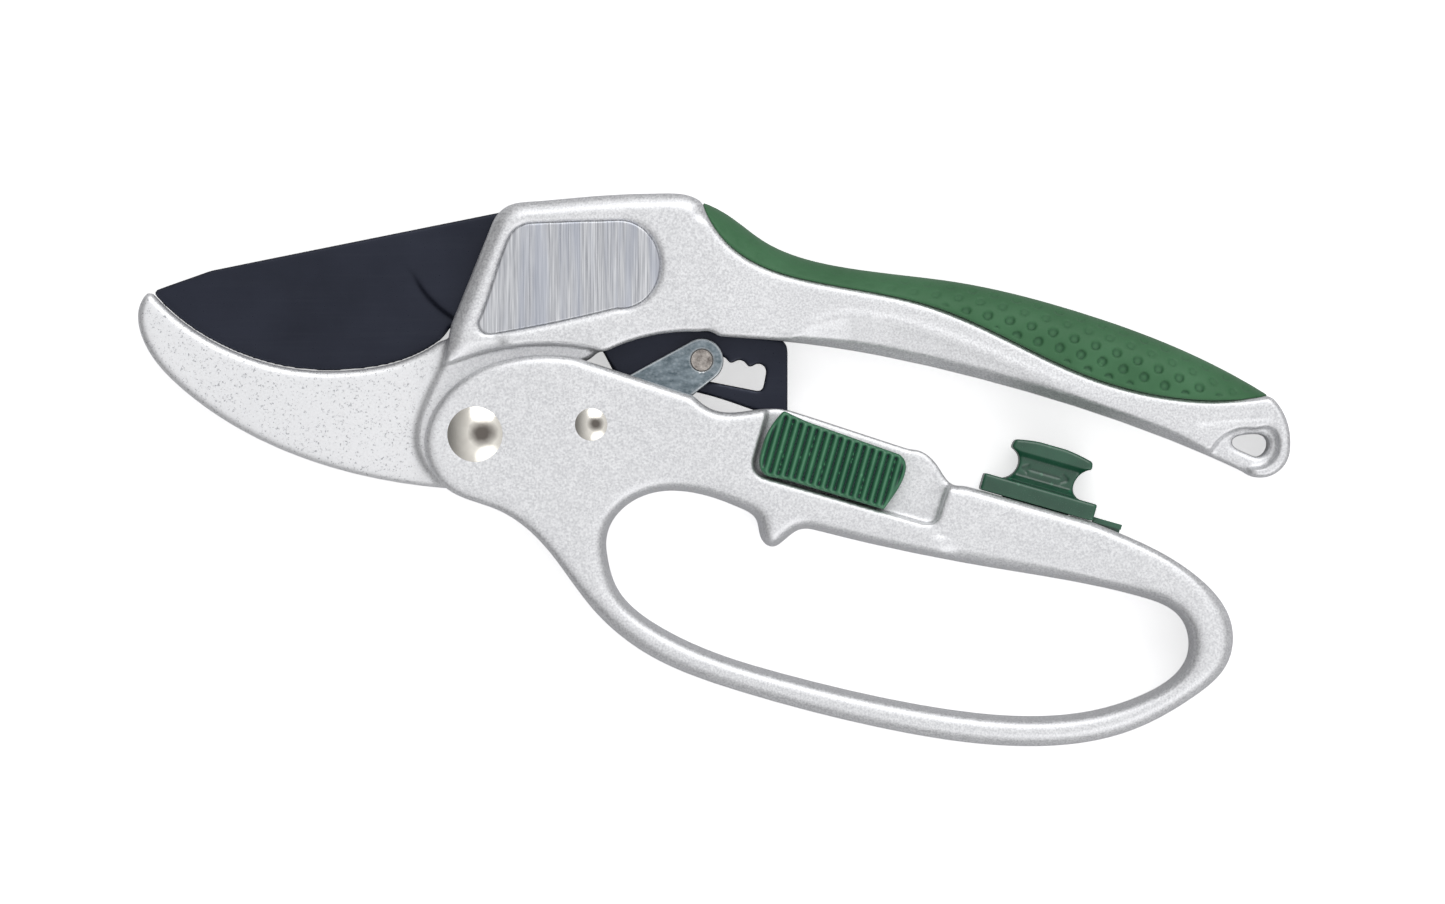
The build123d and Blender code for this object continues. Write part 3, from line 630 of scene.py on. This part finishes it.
def ground_blade():
    """Blade thinned from the grind line down to the edge, with its notched tail."""
    grid = Grid("blade", 0.36)
    x, y = grid.X, grid.Y
    shape = section("blade", 0.2)
    face = grid.flat(shape)
    edge = facing(shape[0], -0.2, -1.0, 0.3)
    middle = edge.mean(axis=1)
    edge = grid.near(edge[(middle[:, 0] < -5.9) & (middle[:, 1] < 26)])

    # The grind ends in a crease that starts at the back and bows a little on its way down.
    from_x, from_y = x + 11.3, y - 28.7
    across, down = from_x * 0.74 + from_y * 0.675, from_x * 0.675 - from_y * 0.74
    bow, half_way = 0.8, 5.3
    across = across + bow * np.maximum(1 - ((down - half_way) / half_way) ** 2, 0)
    ground = ease(-across, -0.4, 0.2)
    wedge = 1.12 * np.clip(1 - edge / 16, 0, 1)
    crease = swell(across, 0.3, 1.4) * ease(down, -0.5, 3)
    bevel = 0.12 * np.clip(1 - edge / 1.1, 0, 1)
    thin = (wedge + crease) * ground + bevel

    # Where the blade is ground its edges stay sharp; elsewhere they are rounded.
    half = 1.6 - thin
    sharp = np.maximum(deep(face), np.abs(grid.Z) - deep(half))
    field = np.where(deep(thin) > 1e-3, sharp, pill(grid, face, half, 0.3))
    return skin(grid, softened(grid, field, (1, 1, 0)), "ground_blade")


# ---- lock and stop -------------------------------------------------------------------------
def ribbed_slide():
    """Thumb slide with rounded cross ribs and a plain rounded rim."""
    grid = Grid("thumb_slide", 0.2)
    outline = grid.cut("thumb_slide", 6.0)
    stud_x, stud_y = axis_of("lock_stud")
    dx, dy = grid.X - stud_x, grid.Y - stud_y
    outline = np.where(np.hypot(dx, dy) < 3, -5.0, outline)  # the stud's bore is filled
    ahead = turned(dx, dy, -16.0)[0]
    outline = outline - 0.45 * ease(-ahead, 6.0, 12.0)
    pitch, depth, radius = 1.5, 1.15, 0.9
    bottom, crest = 4.72, 8.55
    wave = 0.5 + 0.5 * np.cos(2 * math.pi * ahead / pitch)
    top = crest - depth * wave**2.2 * ease(-outline, 0.3, 1.0)
    field = rounded(deep(outline + radius), grid.Z - deep(top - radius), radius)
    field = np.maximum(field, bottom - grid.Z)
    return skin(grid, softened(grid, field, (1, 1, 1)), "ribbed_slide")


def spool():
    """Stop slider: base, waisted neck with an engraved double arrow, and cap."""
    grid = Grid("stop_slider", 0.22)
    foot, tilt = (100.5, -12.82), -15.9  # middle of the base, and the edge's slope in degrees
    along, out = turned(grid.X - foot[0], grid.Y - foot[1], tilt)
    outline = section("stop_slider", 4.8)

    # Neck and cap, with a crowned top.
    highest = turned(*(outline[0] - foot).T, tilt)[1].max()
    crowned = out - highest + 0.9 * (along / 7.2) ** 2
    neck_half = 4.1 + 1.1 * ease(out, 7.6, 9.0) + 1.2 * ease(-out, -4.6, -3.2)
    body = pill(grid, np.maximum(grid.flat(outline), crowned), neck_half, 0.5)

    # Double arrow cut into both sides of the neck: a shaft and two slanted pairs of barbs.
    beside, reach = np.abs(out - 6.0), np.abs(along)
    shaft = np.maximum(beside - 0.17, reach - 4.0)
    barbs = np.maximum(np.abs(beside - 0.55 * (4.4 - reach)) - 0.2, np.abs(reach - 3.7) - 0.7)
    arrow, engraved = np.minimum(shaft, barbs), 0.3
    body = np.maximum(body, np.minimum(-deep(arrow), np.abs(grid.Z) - deep(neck_half - engraved)))

    # Base bar on the handle's edge, and the stem below it that runs in the guide.
    base = pill(grid, np.maximum(reach - 10.5, np.abs(out - 1.65) - 1.55), 6.5, 0.45)
    stem = deep(np.maximum(reach - 6.0, np.abs(out + 0.8) - 1.1))
    stem = np.maximum(stem, np.abs(grid.Z) - 1.1)
    field = np.minimum(np.minimum(body, base), stem)
    return skin(grid, softened(grid, field, (1, 1, 1)), "spool")


# ---- thin plates and small CAD pieces with broken edges ------------------------------------
def plate(node, name, step, inset, radius, under=None):
    """A flat node as a closed plate with rounded edges, its outline drawn in a little. A plate
    that lies under another node stays within its outline, but for a narrow border."""
    grid = Grid(node, step)
    low, high = (corner[2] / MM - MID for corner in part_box(node))
    middle = (low + high) / 2
    outline = grid.cut(node, middle) + inset
    if under:
        outline = np.maximum(outline, grid.flat(section(under, 6.0)[:1]) - 0.3)
    up = np.abs(grid.Z - middle) - (high - low) / 2 + radius
    return skin(grid, rounded(deep(outline + radius), up, radius), name)


def eased(node, name, width):
    """A node's shape with its sharp edges rounded."""
    mesh = NODES[node].data.copy()
    mesh.name = name
    shape = bmesh.new()
    shape.from_mesh(mesh)
    bmesh.ops.remove_doubles(shape, verts=shape.verts, dist=2e-6)
    bmesh.ops.dissolve_limit(shape, angle_limit=math.radians(0.5), verts=shape.verts, edges=shape.edges)
    shape.to_mesh(mesh)
    shape.free()
    mesh.polygons.foreach_set("use_smooth", np.ones(len(mesh.polygons), bool))
    piece = bpy.data.objects.new(name, mesh)
    bpy.context.scene.collection.objects.link(piece)
    bevel = piece.modifiers.new("edges", "BEVEL")
    bevel.width, bevel.segments = width * MM, 3
    bevel.limit_method, bevel.angle_limit = "ANGLE", math.radians(35)
    bevel.harden_normals = True
    return piece


settle(upper_casting(), "body", BODY, SILVER)
settle(lower_casting(), "lower_handle", HANDLE, SILVER)
settle(grip(), "body", "grip_cover", RUBBER)
settle(ground_blade(), "blade", "blade", COATING)
settle(ribbed_slide(), "thumb_lock", "thumb_slide", LOCK_GREEN)
settle(spool(), "stop", "stop_slider", SLIDER_GREEN)
settle(plate("lock_plate", "dark_lock_plate", 0.2, 0.3, 0.25, under="thumb_slide"), "thumb_lock",
       "lock_plate", OXIDE)
for side in ("front", "back"):
    settle(plate("label_plate_" + side, "brushed_plate_" + side, 0.2, 0.12, 0.16), "body",
           "label_plate_" + side, LABEL)
    settle(plate("link_plate_" + side, "zinc_link_" + side, 0.2, 0.0, 0.3), "link",
           "link_plate_" + side, ZINC)

settle(eased("slider_clip", "eased_slider_clip", 0.2), "stop", "slider_clip",
       SLIDER_GREEN)

# Rivets, pins, washers and springs show as they are in the CAD model.
for node, look in (
    ("blade_pivot_pin", STEEL), ("blade_washers", BRASS), ("main_rivet", NICKEL),
    ("main_washers", BRASS), ("opening_spring", STEEL), ("link_rivet", NICKEL),
    ("link_pin", PIN_END), ("link_spacer", STEEL), ("link_washers", BRASS),
    ("link_spring", STEEL), ("lock_stud", STEEL), ("lock_spring", STEEL),
):
    for slot in NODES[node].material_slots:
        slot.material = look

# ---- floor, light, camera ------------------------------------------------------------------
low, high = (np.array(corner) for corner in CAD_BOX)
centre = (low + high) / 2

FLOOR_SIZE, FLOOR_GAP = 60, 0.0001  # metres: wide enough to reach the horizon from low angles
bpy.ops.mesh.primitive_plane_add(size=FLOOR_SIZE, location=(centre[0], centre[1], low[2] - FLOOR_GAP))
floor = bpy.context.object
floor.name = "floor"
paper = Finish("floor", (0.9, 0.9, 0.9), 0.0, 0.8,
               Specular_IOR_Level=0.1, Emission_Color=(1, 1, 1, 1))
paper.bump(paper.noise(900, 3), 0.04, 0.05)
# The camera sees white paper, but the object gets back the light of a grey one.
seen = paper.node("ShaderNodeLightPath").outputs["Is Camera Ray"]
paper.feed("Base Color", paper.blend(seen, (0.38, 0.38, 0.39), (0.9, 0.9, 0.9)))
paper.feed("Emission Strength", paper.ranged(seen, 0.0, 1.0, 0.10, 0.56))
floor.data.materials.append(paper.material)


def lamp(name, place, size, power):
    """A round soft light that looks at the object's middle."""
    data = bpy.data.lights.new(name, "AREA")
    data.shape, data.size, data.energy = "DISK", size, power
    light = bpy.data.objects.new(name, data)
    light.location = centre + np.array(place)
    aim = (light.location - Vector(centre)).to_track_quat("Z", "Y")
    light.rotation_euler = aim.to_euler()
    light.visible_camera = False
    bpy.context.scene.collection.objects.link(light)


lamp("key", (0.25, 0.95, 0.9), 1.1, 5.4)
lamp("fill", (0.45, -0.9, 0.8), 1.1, 2.5)

# A studio tent: pale at the horizon, dark just above it, bright overhead and dimmer on the left.
world = bpy.data.worlds.new("studio")
world.use_nodes = True
sky = world.node_tree
ways = sky.nodes.new("ShaderNodeSeparateXYZ")
sky.links.new(sky.nodes.new("ShaderNodeTexCoord").outputs["Generated"], ways.inputs["Vector"])
tent = sky.nodes.new("ShaderNodeValToRGB")
stops = tent.color_ramp.elements
for position in (0.03, 0.22, 0.5, 0.78, 0.93):
    stops.new(position)
for stop, shade in zip(stops, (0.90, 0.12, 0.22, 0.72, 0.86, 0.88, 0.92)):
    stop.color = (shade, shade, shade * 1.01, 1)
sky.links.new(ways.outputs["Z"], tent.inputs["Fac"])
left = sky.nodes.new("ShaderNodeMapRange")
for key, value in (("From Min", -0.8), ("From Max", -0.15), ("To Min", 0.28), ("To Max", 1.0)):
    left.inputs[key].default_value = value
sky.links.new(ways.outputs["X"], left.inputs["Value"])
sky.links.new(tent.outputs["Color"], sky.nodes["Background"].inputs["Color"])
sky.links.new(left.outputs["Result"], sky.nodes["Background"].inputs["Strength"])
bpy.context.scene.world = world
bpy.context.scene.view_settings.view_transform = "Standard"

VIEW_WIDTH = 1.2505 * (high[0] - low[0])  # width that the frame shows at the front face
FRONT_FACE = 0.015
RIGHT, UP = 0.0016, 0.0032  # from the object's middle to the picture's middle
LENS, SENSOR = 250.0, 36.0
optics = bpy.data.cameras.new("camera")
optics.lens, optics.sensor_width = LENS, SENSOR
camera = bpy.data.objects.new("camera", optics)
height = FRONT_FACE + VIEW_WIDTH * LENS / SENSOR
camera.location = (centre[0] + RIGHT, centre[1] + UP, height)
bpy.context.scene.collection.objects.link(camera)
bpy.context.scene.camera = camera
